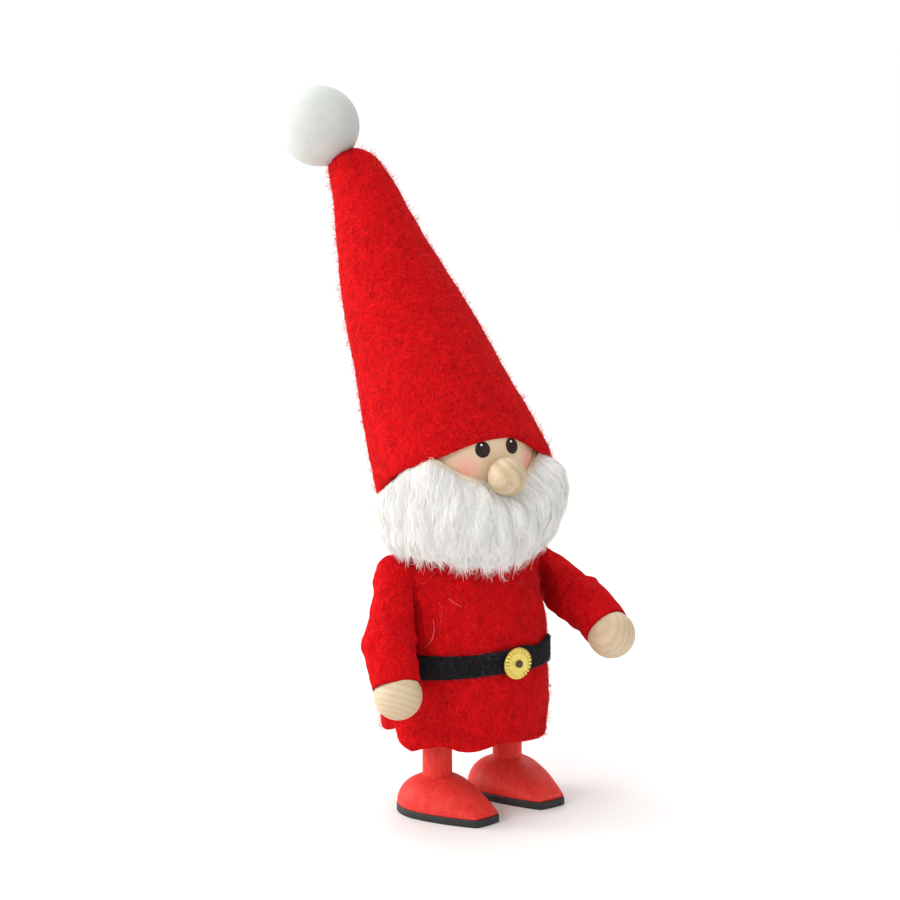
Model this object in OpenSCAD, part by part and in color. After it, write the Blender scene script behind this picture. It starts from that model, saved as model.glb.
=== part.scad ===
// Tomte gnome figurine: a turned wooden body on two dowel legs, dressed in red wool felt,
// with a ball head, a lambswool beard, a tall leaning felt hat and wire arms that pose.
// The floor is z = 0, the feet point along -Y and the figure's left hand is towards +X.

/* [Head] */
// Diameter of the wooden head ball
head_d = 28; // [27:0.5:28.5]
// Height of the head's centre above the floor
head_z = 71.6; // [71:0.1:73]
// How far the face is turned towards the figure's right, in degrees
head_turn = 12; // [0:1:20]
// Diameter of the ball nose
nose_d = 7.7; // [7:0.1:9]

/* [Hat] */
// Outer radius of the hat's brim
brim_r = 17.7; // [17.3:0.1:18.2]
// Length of the felt cone along its axis
hat_h = 72; // [68:1:78]
// How far the hat leans back, in degrees
hat_lean = 35; // [30:1:38]
// Diameter of the white ball on the hat
hat_ball_d = 16.6; // [15:0.1:18]
// How far the ball sits over to the figure's right on the hat's tip, in degrees
ball_tilt = 24; // [0:1:30]

/* [Clothes] */
// Thickness of the wool felt
felt = 1.5; // [1.2:0.1:1.7]
// Width of the black belt
belt_w = 4.8; // [4:0.1:6]
// How far the belt rises at the front, in degrees
belt_slant = 8; // [0:1:10]
// Diameter of the round brass buckle
buckle_d = 6.5; // [5.5:0.1:7.5]

/* [Arms] */
// Diameter of the wooden hands
hand_d = 9.7; // [9:0.1:10]
// How far the right arm is raised forward from hanging down, in degrees
raise_right = 30; // [20:1:40]
// How far the left arm is raised forward from hanging down, in degrees
raise_left = 58; // [40:1:70]
// Diameter of the arm wire
wire_d = 1.6; // [1.2:0.1:1.8]

/* [Legs and shoes] */
// Distance between the two legs
leg_gap = 19.2; // [18:0.1:20]
// Diameter of the leg dowels
leg_d = 6; // [5.5:0.1:6.2]
// Width of a shoe
shoe_w = 15.5; // [14:0.1:16.5]
// Length of a shoe behind the leg
heel_len = 8.5; // [8:0.1:10]
// Length of a shoe in front of the leg
toe_len = 14.3; // [12:0.1:15]
// Height of the wooden part of a shoe
shoe_h = 6.8; // [6.2:0.1:7.5]
// How far the toes point inwards, in degrees
toe_in = 3; // [0:1:6]
// Thickness of the rubber sole
sole_t = 1.2; // [1:0.1:1.8]

/* [Hidden] */

$fn = 96;
gap = 0.05;                 // running clearance on a radius
skin = 0.03;                // air between two glued or touching soft surfaces
cut = 100;                  // larger than anything that it trims

red_felt = "#c8141c";
red_stain = "#cf3a33";
bare_wood = "#e3c79a";
brass = "#e0c04a";

// body: a lathe-turned core on the neck's vertical axis, set back from the legs
body_back = 2.5;            // from the legs' plane back to the body's axis
torso_turn = 9;             // the belt buckle and the arms turn with the torso
hem_z = 16;
core_z = 19;                // underside of the wooden core
neck_r = 5;
neck_top = head_z - sqrt(pow(head_d / 2, 2) - 9) - 0.3;
peg_d = 6;
peg_bottom = 39;
peg_in_head = 7;            // how far below the head's centre the bore for the peg ends
peg_end = 0.5;              // air at the blind end of a bore that a turning piece runs in

// tunic outline from hem to neck, as radius and height
tunic_line = [[16.2, hem_z], [16.8, 24], [16.6, 32], [15.9, 39], [14.7, 45], [12.5, 50], [9.4, 53.4], [6.9, 55.3]];

// shoulders: the arms turn about one sideways axis through the core
shoulder_z = 47.3;
shoulder_r = 4.6;
arm_root = 15.2;            // centre of the sleeve's round top, out from the body's axis
stub_end = 15.95;           // the tunic's short armhole ends here
sleeve_start = 16.2;        // and the sleeve starts here
upper_arm = [5.7, 0, -10.7];
wrist_to = [7.8, 0, -22.4];
elbow_r = 5;
cuff_r = 4.75;
cuff_gap = 2.5;             // from the cuff's rim to the hand's centre
cuff_mouth = sqrt(pow(hand_d / 2 + skin, 2) - pow(cuff_gap, 2));
wire_in = 10.5;             // wire inside the core, from the arm's root inwards
wire_grip = 1.5;            // the wire runs on this far past the hand's centre
bulge = 1.02;               // the round at a bend stands a hair proud of the bars that meet in it
wrist_dir = (wrist_to - upper_arm) / norm(wrist_to - upper_arm);

// legs and shoes
leg_top = 31;
leg_bottom = sole_t + 1.5;
toe_w = 6.4;
toe_h = 0.9;
sole_lip = 0.15;            // the sole shows this far past the wood

// hat
brim_drop = 4.7;            // from the head's centre down the hat's axis to the brim
hat_back = 3.1;             // the hat sits back on the head
hat_turn = 6;               // and its tip swings this many degrees less than the face
tip_r = 3.4;
hat_line = [[brim_r, 0], [15.6, 14], [12.9, 32], [9, 52], [5.9, 66], [tip_r + 0.9, 70.6], [tip_r, 72]];
stuffing_z = 14;            // the wool wadding starts at the crown of the head
stuffing_top = 30;          // and fills the hat to here, where the felt stands by itself
plug_z = 60;
plug_top = hat_h - felt - 0.3;
ball_sink = 0.1;
peg_down = 7;               // the ball's peg starts this far below the hat's tip
small_peg_d = 2;

// beard: a strip of lambskin round the face, wool outwards
beard_r = 19;
beard_fwd = 1.9;            // the wool is fuller at the front
beard_floor = 52.2 - head_z;
beard_line = [[12, beard_floor], [15.8, beard_floor], [17.8, beard_floor + 2.6], [beard_r, beard_floor + 6.5],
    [beard_r, beard_floor + 11], [18.2, beard_floor + 16], [16.6, beard_floor + 22], [13, beard_floor + 26]];
hide_t = 0.6;
cheek_tilt = 44;            // slope of the beard's top edge, rising towards the ears
cheek_z = 10.4;             // height where that slope passes the head's axis
beard_end = 11;             // the strip ends behind the ears
tunic_clear = 11.4;         // radius of the hollow under the beard that clears the tunic's shoulders

// nose and face
nose_az = -2;
nose_el = -2;
nose_out = head_d / 2 + nose_d / 2 + skin;
nose_peg_from = head_d / 2 - 4;

belt_z = 30.5;              // middle of the slanting belt at the body's axis
belt_t = 1;
buckle_t = 0.8;
notches = 24;               // radial grooves stamped in the buckle's rim
notch_in = 0.3;
ring_h = 0.15;              // the raised ring inside the rim
pin_d = 1;
pin_head_d = 1.5;
pin_head_h = 0.35;
pin_inner = 10;             // the buckle's pin stops this far from the body's axis
belt_front = 17.65;         // the buckle's back, out from the body's axis
buckle_z = 32.5;
buckle_az = 3;              // the buckle sits a little to the figure's left

// where the outermost pieces lie, to set the origin under the middle of the figure
function turn_z(p, a) = [p[0] * cos(a) - p[1] * sin(a), p[0] * sin(a) + p[1] * cos(a), p[2]];
function lean_x(p, a) = [p[0], p[1] * cos(a) - p[2] * sin(a), p[1] * sin(a) + p[2] * cos(a)];
function hand_at(side, raise) =
    let (w = lean_x(wrist_to, -raise))
    turn_z([side * (arm_root + w[0]), w[1], w[2]], -torso_turn) + [0, body_back, 0];
ball_reach = hat_ball_d / 2 - ball_sink;
ball_from_brim = [-ball_reach * sin(ball_tilt), 0, hat_h - brim_drop + ball_reach * cos(ball_tilt)];
ball_at = turn_z(lean_x(ball_from_brim, -hat_lean) + [0, hat_back, 0], hat_turn - head_turn) + [0, body_back, head_z];
right_x = hand_at(-1, raise_right)[0] - hand_d / 2;
left_x = hand_at(1, raise_left)[0] + hand_d / 2;
front_y = hand_at(1, raise_left)[1] - hand_d / 2;
back_y = ball_at[1] + hat_ball_d / 2;
middle = [-(right_x + left_x) / 2, -(front_y + back_y) / 2, 0];

// a smooth curve through a list of points, with the same number of steps between each pair
function mix(a, b, c, d, t) =
    0.5 * (2 * b + (c - a) * t + (2 * a - 5 * b + 4 * c - d) * t * t + (3 * b - 3 * c + d - a) * t * t * t);
function curve(p, steps = 3) =
    let (n = len(p) - 1)
    [for (i = [0:n - 1], k = [0:steps - 1])
        mix(p[max(i - 1, 0)], p[i], p[i + 1], p[min(i + 2, n)], k / steps),
     p[n]];
// the same curve moved sideways by d, where a positive d is towards the axis
function inset(p, d) =
    [for (i = [0:len(p) - 1])
        let (t = p[min(i + 1, len(p) - 1)] - p[max(i - 1, 0)])
        p[i] + d * [-t[1], t[0]] / norm(t)];
function reverse(p) = [for (i = [len(p) - 1:-1:0]) p[i]];

tunic_curve = curve(tunic_line);
hat_curve = curve([for (p = hat_line) [p[0], p[1] * hat_h / 72]]);
hat_inner = [for (p = inset(hat_curve, felt)) if (p[1] < hat_h - felt) p];

// ---- frames ----
module figure() translate(middle) children();
module torso() figure() translate([0, body_back, 0]) rotate([0, 0, -torso_turn]) children();
module head_frame() figure() translate([0, body_back, head_z]) rotate([0, 0, -head_turn]) children();
module hat_on_head() rotate([0, 0, hat_turn]) translate([0, hat_back, 0]) rotate([-hat_lean, 0, 0])
    translate([0, 0, -brim_drop]) children();
module hat_frame() head_frame() hat_on_head() children();
module tip_frame() translate([0, 0, hat_h]) rotate([0, -ball_tilt, 0]) children();
module foot(side) figure() translate([side * leg_gap / 2, 0, 0]) rotate([0, 0, -side * toe_in]) children();
// an arm's own frame: its root at the origin, +X away from the body, raised about the X axis
module arm(side, raise)
    torso() translate([side * arm_root, 0, shoulder_z])
        mirror([side < 0 ? 1 : 0, 0, 0]) rotate([-raise, 0, 0]) children();

module spin(outline) rotate_extrude() polygon(outline);
module solid_of(line) spin(concat([[0, line[0][1]]], line, [[0, line[len(line) - 1][1]]]));
// a round bar between two points, with its own radius at each end
module bar(a, b, ra, rb) {
    d = b - a;
    translate(a) rotate([0, acos(d[2] / norm(d)), atan2(d[1], d[0])]) cylinder(h = norm(d), r1 = ra, r2 = rb);
}

// ---- wooden body ----
module leg_bores(r, from, to)
    for (side = [-1, 1]) foot(side) translate([0, 0, from]) cylinder(h = to - from, r = r);

module arm_bores(r, from, to)
    torso() for (side = [-1, 1])
        translate([side * from, 0, shoulder_z]) rotate([0, side * 90, 0]) cylinder(h = to - from, r = r);

module pin_bore()
    torso() rotate([0, 0, buckle_az]) translate([0, -pin_inner, buckle_z]) rotate([90, 0, 0])
        cylinder(h = 10, d = pin_d);

module body_core() color(bare_wood) difference() {
    union() {
        torso() intersection() {
            solid_of(inset(tunic_curve, felt + 0.15));
            translate([0, 0, core_z]) cylinder(h = cut, r = cut);
        }
        torso() translate([0, 0, peg_bottom]) cylinder(h = neck_top - peg_bottom, r = neck_r);
    }
    leg_bores(leg_d / 2, 0, leg_top);
    torso() translate([0, 0, peg_bottom]) cylinder(h = cut, d = peg_d);
    arm_bores(wire_d / 2 + gap, arm_root - wire_in - peg_end, cut);
    pin_bore();
}

module neck_peg() color(bare_wood) torso()
    translate([0, 0, peg_bottom]) cylinder(h = head_z - peg_in_head - peg_end - peg_bottom, d = peg_d);

module leg(side) color(red_stain) foot(side)
    translate([0, 0, leg_bottom]) cylinder(h = leg_top - leg_bottom, d = leg_d);
module leg_left() leg(1);
module leg_right() leg(-1);

// ---- shoes: a half egg of stained wood, round at the heel and squared at the toe ----
function taper(s, power) = 1 - pow(s / toe_len, power);
function heel(s) = sqrt(max(0, 1 - pow(s / heel_len, 2)));
function half_width(s) = s < 0 ? shoe_w / 2 * heel(s) : toe_w / 2 + (shoe_w - toe_w) / 2 * taper(s, 1.6);
function height_at(s) = s < 0 ? shoe_h * heel(s) : toe_h + (shoe_h - toe_h) * taper(s, 1.8);
stations = concat([for (a = [90:-7.5:0]) -heel_len * sin(a)], [for (i = [1:14]) toe_len * i / 14]);
module section(s, t) {
    w = max(half_width(s), 0.05);
    h = max(height_at(s), 0.05);
    translate([0, -s, sole_t]) rotate([90, 0, 0]) linear_extrude(t)
        polygon([for (a = [0:9:180]) [w * cos(a), h * sin(a)]]);
}
module shoe(side) color(red_stain) difference() {
    foot(side) hull() for (s = stations) section(s, 0.01);
    foot(side) translate([0, 0, leg_bottom]) cylinder(h = cut, d = leg_d);
}
module shoe_left() shoe(1);
module shoe_right() shoe(-1);

module sole(side) color("#1b1b1d") foot(side) linear_extrude(sole_t)
    polygon(concat(
        [for (s = stations) [half_width(s) + sole_lip, -(s + sole_lip * sign(s))]],
        [for (s = reverse(stations)) if (s > -heel_len) [-half_width(s) - sole_lip, -(s + sole_lip * sign(s))]]));
module sole_left() sole(1);
module sole_right() sole(-1);

// ---- clothes on the body ----
module stubs(r, from) for (side = [-1, 1])
    translate([side * from, 0, shoulder_z]) rotate([0, side * 90, 0]) cylinder(h = stub_end - from, r = r);

module tunic() color(red_felt) difference() {
    torso() union() {
        solid_of(tunic_curve);
        stubs(shoulder_r, 8);
    }
    torso() translate([0, 0, -0.01]) solid_of(inset(tunic_curve, felt));
    torso() translate([0, 0, hem_z - 5]) cylinder(h = 10, r = inset(tunic_curve, felt)[0][0]);
    torso() translate([0, 0, shoulder_z]) cylinder(h = 20, r = neck_r + 0.1);
    arm_bores(shoulder_r - felt, 8, cut);
    pin_bore();
}

module belt_slab() translate([0, 0, belt_z]) rotate([-belt_slant, 0, 0])
    translate([0, 0, -belt_w / 2]) cylinder(h = belt_w, r = 40);
module belt() color("#17171a") difference() {
    torso() intersection() {
        solid_of(inset(tunic_curve, -belt_t));
        belt_slab();
    }
    torso() solid_of(inset(tunic_curve, -skin));
    pin_bore();
}

// the buckle is pinned through the front of the belt
module buckle_frame() torso() rotate([0, 0, buckle_az]) translate([0, -belt_front, buckle_z]) rotate([90, 0, 0]) children();
module buckle() color(brass) buckle_frame() difference() {
    union() {
        linear_extrude(buckle_t) polygon([for (i = [0:notches * 4 - 1])
            let (r = buckle_d / 2 - (i % 4 > 1 ? notch_in : 0), a = (i + 0.5) * 90 / notches)
            [r * cos(a), r * sin(a)]]);
        cylinder(h = buckle_t + ring_h, r = buckle_d * 0.31);
    }
    translate([0, 0, buckle_t]) cylinder(h = 1, r = buckle_d * 0.26);
    translate([0, 0, -1]) cylinder(h = 3, d = pin_d);
}
module buckle_pin() color("#3a2f22") buckle_frame() {
    translate([0, 0, pin_inner - belt_front]) cylinder(h = belt_front + buckle_t - pin_inner, d = pin_d);
    translate([0, 0, buckle_t]) cylinder(h = pin_head_h, d = pin_head_d);
}

// ---- arms ----
module wire_path(r, reach) {
    sphere(r = r * bulge);
    bar([0, 0, 0], upper_arm, r, r);
    translate(upper_arm) sphere(r = r * bulge);
    bar(upper_arm, wrist_to + reach * wrist_dir, r, r);
}
module arm_wire(side, raise) color("silver") arm(side, raise) {
    wire_path(wire_d / 2, wire_grip);
    bar([-wire_in, 0, 0], [0, 0, 0], wire_d / 2, wire_d / 2);
}
module sleeve(side, raise) color(red_felt) arm(side, raise) difference() {
    union() {
        sphere(r = shoulder_r);
        bar([0, 0, 0], upper_arm, shoulder_r / bulge, elbow_r / bulge);
        translate(upper_arm) sphere(r = elbow_r);
        bar(upper_arm, wrist_to - cuff_gap * wrist_dir, elbow_r / bulge, cuff_r);
    }
    translate([-cut + sleeve_start - arm_root, -cut / 2, -cut / 2]) cube(cut);
    wire_path(wire_d / 2, 0);
    bar(wrist_to - (hand_d / 2 + skin) * wrist_dir, wrist_to, cuff_mouth, cuff_mouth);
}
module hand(side, raise) color(bare_wood) arm(side, raise) difference() {
    translate(wrist_to) sphere(d = hand_d);
    bar(upper_arm, wrist_to + wire_grip * wrist_dir, wire_d / 2, wire_d / 2);
}
module arm_wire_left() arm_wire(1, raise_left);
module sleeve_left() sleeve(1, raise_left);
module hand_left() hand(1, raise_left);
module arm_wire_right() arm_wire(-1, raise_right);
module sleeve_right() sleeve(-1, raise_right);
module hand_right() hand(-1, raise_right);

// ---- head ----
module nose_frame() head_frame() rotate([0, 0, nose_az]) rotate([90 - nose_el, 0, 0]) children();
module nose_hole() nose_frame() translate([0, 0, nose_peg_from]) cylinder(h = 7, d = small_peg_d);

module head() color(bare_wood) difference() {
    head_frame() sphere(d = head_d);
    head_frame() translate([0, 0, -peg_in_head - 30]) cylinder(h = 30, d = peg_d + 2 * gap);
    nose_hole();
}
module nose() color(bare_wood) difference() {
    nose_frame() translate([0, 0, nose_out]) sphere(d = nose_d);
    nose_hole();
}
module nose_peg() color(bare_wood) nose_hole();

module under_cheeks(lift) translate([0, 0, cheek_z + lift]) rotate([cheek_tilt, 0, 0])
    translate([-cut / 2, -cut / 2, -cut]) cube(cut);
module beard_reach() translate([-cut / 2, beard_end - cut, -cut / 2]) cube(cut);
module hat_envelope(d) hat_on_head() solid_of(inset(hat_curve, -d));

function arc(r, from, to, step) = [for (a = [from:step:to]) [r * cos(a), r * sin(a)]];
module beard_backing() color("#e8dcc0") head_frame() difference() {
    intersection() {
        spin(concat(arc(head_d / 2 + hide_t, -45, 30, 5), reverse(arc(head_d / 2 + 2 * skin, -45, 30, 5))));
        under_cheeks(0.3);
        beard_reach();
    }
    hat_envelope(skin);
}
module beard_wool() color("#f2f1ee") head_frame() difference() {
    intersection() {
        translate([0, -beard_fwd, 0]) solid_of(curve(beard_line));
        under_cheeks(0);
        beard_reach();
    }
    sphere(r = head_d / 2 + hide_t + skin);
    translate([0, 0, beard_floor - 1]) cylinder(h = 10, r = tunic_clear);
    hat_envelope(skin);
    nose_room();
}
module nose_room() rotate([0, 0, nose_az]) rotate([90 - nose_el, 0, 0]) translate([0, 0, nose_out])
    sphere(d = nose_d + 0.1);

// ---- hat ----
module hat() color(red_felt) difference() {
    hat_frame() solid_of(hat_curve);
    hat_frame() translate([0, 0, -0.01]) spin(concat(
        [[0, -1], [hat_inner[0][0], -1]], hat_inner, [[0, hat_h - felt]]));
    head_frame() sphere(r = head_d / 2 + skin);
    hat_frame() tip_bore(small_peg_d);
    hat_frame() tip_frame() translate([0, 0, ball_reach]) sphere(d = hat_ball_d + skin);
}
module tip_bore(d) tip_frame() translate([0, 0, -peg_down]) cylinder(h = peg_down + 5, d = d);

module hat_filling(from, to) intersection() {
    hat_frame() solid_of([for (p = inset(hat_curve, felt + skin)) if (p[1] < hat_h - felt) p]);
    hat_frame() translate([0, 0, from]) cylinder(h = to - from, r = cut);
}
module hat_stuffing() color("#d8d4cc") difference() {
    hat_filling(stuffing_z, stuffing_top);
    head_frame() sphere(r = head_d / 2 + skin);
}
module hat_plug() color(bare_wood) difference() {
    hat_filling(plug_z, plug_top);
    hat_frame() tip_bore(small_peg_d);
}
module ball_peg() color(bare_wood) hat_frame() tip_bore(small_peg_d);
module hat_ball() color("white") difference() {
    hat_frame() tip_frame() translate([0, 0, ball_reach]) sphere(d = hat_ball_d);
    hat_frame() tip_bore(small_peg_d);
}

body_core();
neck_peg();
leg_left();
leg_right();
shoe_left();
shoe_right();
sole_left();
sole_right();
tunic();
belt();
buckle();
buckle_pin();
head();
nose();
nose_peg();
beard_backing();
beard_wool();
hat();
hat_stuffing();
hat_plug();
ball_peg();
hat_ball();
arm_wire_left();
sleeve_left();
hand_left();
arm_wire_right();
sleeve_right();
hand_right();
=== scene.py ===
"""The looks of the tomte gnome figurine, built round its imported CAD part.

Shapes are worked out in millimetres, each in the frame of what it belongs to: the torso, the face, the
hat or an arm. place() turns them into meshes in the part's own frame, in metres.
An azimuth is measured round the figure from its front, and is positive towards the figure's left.
"""

import math

import bpy
import numpy as np
from mathutils import Matrix, Vector


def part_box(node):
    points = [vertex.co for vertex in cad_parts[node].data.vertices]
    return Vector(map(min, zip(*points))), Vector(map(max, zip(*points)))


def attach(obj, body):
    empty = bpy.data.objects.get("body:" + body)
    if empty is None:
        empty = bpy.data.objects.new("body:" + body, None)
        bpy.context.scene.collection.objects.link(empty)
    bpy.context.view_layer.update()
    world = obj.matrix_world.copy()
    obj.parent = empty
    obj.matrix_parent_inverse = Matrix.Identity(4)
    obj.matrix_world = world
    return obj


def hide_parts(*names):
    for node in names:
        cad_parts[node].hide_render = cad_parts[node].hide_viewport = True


MM = 0.001
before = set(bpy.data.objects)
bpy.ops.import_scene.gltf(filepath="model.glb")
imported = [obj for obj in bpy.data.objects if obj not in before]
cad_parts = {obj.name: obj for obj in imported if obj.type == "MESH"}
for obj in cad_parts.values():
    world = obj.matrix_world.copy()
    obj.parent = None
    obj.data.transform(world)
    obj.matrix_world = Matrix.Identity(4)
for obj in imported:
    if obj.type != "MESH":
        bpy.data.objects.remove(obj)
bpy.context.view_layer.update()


# ------------------------ numbers and frames


def smooth(x, start, end):
    """0 before start, 1 after end, and an even ramp between them."""
    t = np.clip((np.asarray(x, float) - start) / (end - start), 0, 1)
    return t * t * (3 - 2 * t)


def through(x, known):
    """A rounded curve through known points, given as (x, value) pairs in order."""
    at, value = np.array(known, float).T
    x = np.clip(np.asarray(x, float), at[0], at[-1])
    slope = np.gradient(value, at)
    i = np.clip(np.searchsorted(at, x, side="right") - 1, 0, len(at) - 2)
    width = at[i + 1] - at[i]
    t = (x - at[i]) / width
    rise = value[i] * (1 + 2 * t) * (1 - t) ** 2 + value[i + 1] * t * t * (3 - 2 * t)
    lean = width * (slope[i] * t * (1 - t) ** 2 - slope[i + 1] * t * t * (1 - t))
    return rise + lean


def ripple(points, size, seed, waves=28):
    """A smooth random field with features of about that size, and a spread of about 1."""
    rng = np.random.default_rng(seed)
    way = rng.normal(size=(waves, points.shape[-1]))
    way /= np.linalg.norm(way, axis=1, keepdims=True)
    way *= 2 * math.pi / size * rng.uniform(0.55, 1.45, (waves, 1))
    phase = rng.uniform(0, 2 * math.pi, waves)
    return np.sin(points @ way.T + phase).sum(-1) * math.sqrt(2 / waves)


def shift(x, y, z):
    return np.array(Matrix.Translation((x, y, z)))


def turn(axis, degrees):
    return np.array(Matrix.Rotation(math.radians(degrees), 4, axis))


def moved(matrix, points):
    return points @ matrix[:3, :3].T + matrix[:3, 3]


def unit(v):
    return v / np.maximum(np.linalg.norm(v, axis=-1, keepdims=True), 1e-9)


def around(azimuth, radius, z):
    """Points at an azimuth in degrees, a radius and a height."""
    a = np.radians(azimuth)
    return np.stack(np.broadcast_arrays(radius * np.sin(a), -radius * np.cos(a), z), -1)


def middle_of(node):
    low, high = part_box(node)
    return np.array((low + high) / 2) / MM


HEAD = middle_of("head")
HEAD_R = 14.0
FACE = shift(*HEAD) @ turn("Z", -12)
HAT = FACE @ turn("Z", 6) @ shift(0, 3.1, 0) @ turn("X", -35) @ shift(0, 0, -4.7)
TORSO = shift(HEAD[0], HEAD[1], 0) @ turn("Z", -9)
SHOULDER_Z = 47.3
ARM_ROOT = 15.2
RAISED = {"left": 58, "right": 30}
SIDE = {"left": 1, "right": -1}


def arm_frame(side):
    """An arm's own frame: its root at the origin, +X away from the body and -Z down the hanging arm."""
    root = TORSO @ shift(SIDE[side] * ARM_ROOT, 0, SHOULDER_Z)
    return root @ np.diag([SIDE[side], 1, 1, 1]) @ turn("X", -RAISED[side])


# ------------------------ meshes


def place(name, points, faces, material, matrix=None, shade=True):
    """A mesh object from points in millimetres, in the given frame."""
    points = np.asarray(points, float).reshape(-1, 3)
    if matrix is not None:
        points = moved(matrix, points)
        if np.linalg.det(matrix[:3, :3]) < 0:
            faces = [f[::-1] for f in faces]
    mesh = bpy.data.meshes.new(name)
    mesh.from_pydata((points * MM).tolist(), [], faces)
    mesh.materials.append(material)
    mesh.polygons.foreach_set("use_smooth", [shade] * len(mesh.polygons))
    mesh.update()
    piece = bpy.data.objects.new(name, mesh)
    bpy.context.scene.collection.objects.link(piece)
    return piece


def grid_faces(rows, columns, wrap_columns=True, wrap_rows=False):
    """Quads between a grid's points, facing out when rows go up and columns go by azimuth."""
    faces = []
    for i in range(rows if wrap_rows else rows - 1):
        below, above = i * columns, (i + 1) % rows * columns
        for j in range(columns if wrap_columns else columns - 1):
            k = (j + 1) % columns
            faces.append((below + j, below + k, above + k, above + j))
    return faces


def capped(points, rows, columns):
    """The faces of a grid whose first and last rows are closed by a fan to a middle point each."""
    faces = grid_faces(rows, columns)
    first, last = len(points), len(points) + 1
    top = (rows - 1) * columns
    for j in range(columns):
        k = (j + 1) % columns
        faces.append((first, k, j))
        faces.append((last, top + j, top + k))
    ends = [points[:columns].mean(0), points[top:].mean(0)]
    return np.vstack([points, ends]), faces


def normals_of(grid, wrap_columns=True):
    """Outward normals of a grid of points (rows, columns, 3)."""
    up = np.gradient(grid, axis=0)
    if wrap_columns:
        across = np.roll(grid, -1, 1) - np.roll(grid, 1, 1)
    else:
        across = np.gradient(grid, axis=1)
    return unit(np.cross(across, up))


def two_sided(grid, thickness):
    """A closed cloth from the grid of its middle surface, with rounded first and last rows."""
    normal = normals_of(grid)
    half = thickness / 2
    lips = []
    for row, beyond in ((0, 1), (-1, -2)):
        out = unit(grid[row] - grid[beyond])
        turns = [(math.cos(a), math.sin(a)) for a in np.radians([-54, -18, 18, 54])]
        lip = [grid[row] + half * (c * out + s * normal[row]) for c, s in turns]
        lips.append(lip)
    inner = (grid - half * normal)[::-1]
    outer = grid + half * normal
    rows = [*inner, *lips[0], *outer, *lips[1][::-1]]
    points = np.concatenate(rows)
    return points, grid_faces(len(rows), grid.shape[1], wrap_rows=True)


def tube(path, radius, sides=8):
    """A round closed thread along a path."""
    path = np.asarray(path, float)
    along = unit(np.gradient(path, axis=0))
    side = unit(np.cross(along, [0.31, 0.27, 0.91]))
    other = np.cross(along, side)
    a = np.arange(sides) * 2 * math.pi / sides
    radius = np.broadcast_to(radius, len(path))[:, None, None]
    ring = np.cos(a)[None, :, None] * side[:, None] + np.sin(a)[None, :, None] * other[:, None]
    return capped((path[:, None] + radius * ring).reshape(-1, 3), len(path), sides)


def joined(parts):
    """One list of points and faces from several."""
    points, faces, count = [], [], 0
    for p, f in parts:
        points.append(p)
        faces += [tuple(i + count for i in face) for face in f]
        count += len(p)
    return np.vstack(points), faces


def strands(name, paths, facing, width, material, matrix=None, tone=None, soft=None):
    """Hairs as narrow tapering ribbons. paths is (hairs, points, 3), facing is what each lies on. Ribbons
    with soft normals are lit as the surface below them is, which hides that they are flat."""
    hairs, steps = paths.shape[:2]
    along = unit(np.gradient(paths, axis=1))
    side = unit(np.cross(along, facing))
    taper = np.sin(np.linspace(0.22, 0.97, steps) * math.pi) ** 0.7
    half = 0.5 * np.broadcast_to(width, (hairs,))[:, None, None] * taper[None, :, None] * side
    points = np.stack([paths - half, paths + half], 2).reshape(-1, 3)
    start = np.arange(hairs)[:, None] * steps * 2 + np.arange(steps - 1) * 2
    quads = np.stack([start, start + 1, start + 3, start + 2], -1).reshape(-1, 4)
    piece = place(name, points, quads.tolist(), material, matrix)
    shade = np.repeat(np.full(hairs, 0.5) if tone is None else tone, steps * 2)
    mark = piece.data.attributes.new("tone", "FLOAT", "POINT")
    mark.data.foreach_set("value", shade.astype(np.float32))
    if soft is not None:
        normals = np.repeat(np.broadcast_to(soft, paths.shape).reshape(-1, 3), 2, axis=0)
        normals = unit(normals @ matrix[:3, :3].T)
        piece.data.normals_split_custom_set_from_vertices(normals.tolist())
    return piece


def fuzz(name, grid, count, length, width, material, matrix, seed, lift=0.35, curl=0.9):
    """Short loose wool fibres that lie on a cloth's surface and stand off it a little."""
    rng = np.random.default_rng(seed)
    rows, columns = grid.shape[:2]
    normal = normals_of(grid)
    across = unit(np.roll(grid, -1, 1) - np.roll(grid, 1, 1))
    size = np.linalg.norm(np.roll(grid, -1, 1) - grid, axis=2)
    share = size.mean(1)
    i = rng.choice(rows, count, p=share / share.sum())
    j = rng.integers(0, columns, count)
    between = rng.random((count, 1))
    root = grid[i, j] * (1 - between) + grid[i, (j + 1) % columns] * between
    n, a = normal[i, j], across[i, j]
    heading = rng.uniform(0, 2 * math.pi, (count, 1))
    ahead = np.cos(heading) * a + np.sin(heading) * np.cross(n, a)
    sideways = np.cross(n, ahead)
    t = np.linspace(0, 1, 6 if length < 2 else 14)[None, :, None]
    reach = length * rng.uniform(0.4, 1.5, (count, 1, 1))
    bend = rng.normal(0, curl, (count, 1, 1))
    rise = lift * rng.uniform(-0.2, 1.3, (count, 1, 1)) ** 2
    ahead, sideways, n = ahead[:, None], sideways[:, None], n[:, None]
    path = root[:, None] + reach * (ahead * np.sin((1 + 0.35 * curl) * t) + bend * sideways * t * t * 0.5)
    path = path + n * (0.02 + reach * rise * np.sin(2.2 * t))
    facing = unit(n + 0.6 * rng.normal(size=(count, 1, 3)))
    widths = width * rng.uniform(0.6, 1.3, count)
    return strands(name, path, facing, widths, material, matrix, rng.random(count))


# ------------------------ camera, light and floor


def look_at(obj, target):
    obj.rotation_euler = (Vector(target) - obj.location).to_track_quat("-Z", "Y").to_euler()


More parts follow.
